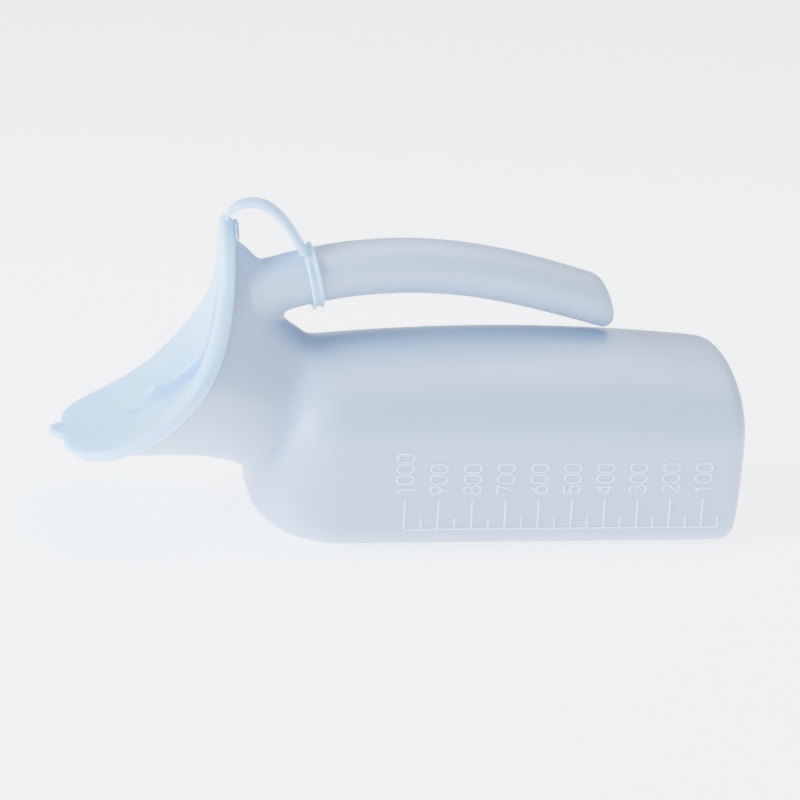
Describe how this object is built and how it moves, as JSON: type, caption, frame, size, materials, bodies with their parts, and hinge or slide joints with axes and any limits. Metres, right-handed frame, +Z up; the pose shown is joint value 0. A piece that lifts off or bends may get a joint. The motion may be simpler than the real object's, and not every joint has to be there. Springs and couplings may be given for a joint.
{
  "type": "female urine bottle",
  "caption": "Translucent plastic urine bottle for use in bed, with a flared saddle mouth, a push-fit lid on a tether, a hooked carrying handle and a raised volume scale.",
  "frame": {"origin": "on the flat underside the bottle lies on, in the symmetry plane, near the middle of the underside's length", "axes": "-X out of the mouth, +X towards the standing base, +Z up through the handle, Y = 0 the symmetry plane, the scale on the -Y side"},
  "size_m": [0.2835, 0.1005, 0.1343],
  "materials": {
    "bottle_plastic": "milky translucent polyethylene, satin",
    "lid_plastic": "soft milky polyethylene, satin, lighter than the bottle"
  },
  "bodies": {
    "bottle": {"bottle_body": "bottle_plastic", "mouth_funnel": "bottle_plastic", "carry_handle": "bottle_plastic", "volume_scale": "bottle_plastic", "tether_strap": "lid_plastic"},
    "lid": {"lid": "lid_plastic", "pull_tab": "lid_plastic"},
    "ring": {"handle_ring": "lid_plastic"}
  },
  "joints": [
    {"name": "lid_swing", "type": "hinge", "parent": "bottle", "child": "lid", "pos_m": [-0.1219, 0, 0.1265], "axis": [0, 1, 0], "range_deg": [0, 120], "deforming": ["tether_strap"]},
    {"name": "ring_slide", "type": "hinge", "parent": "bottle", "child": "ring", "pos_m": [-0.047, 0, -0.0839], "axis": [0, 1, 0], "range_deg": [-1.2, 2.4], "deforming": ["tether_strap"]}
  ]
}
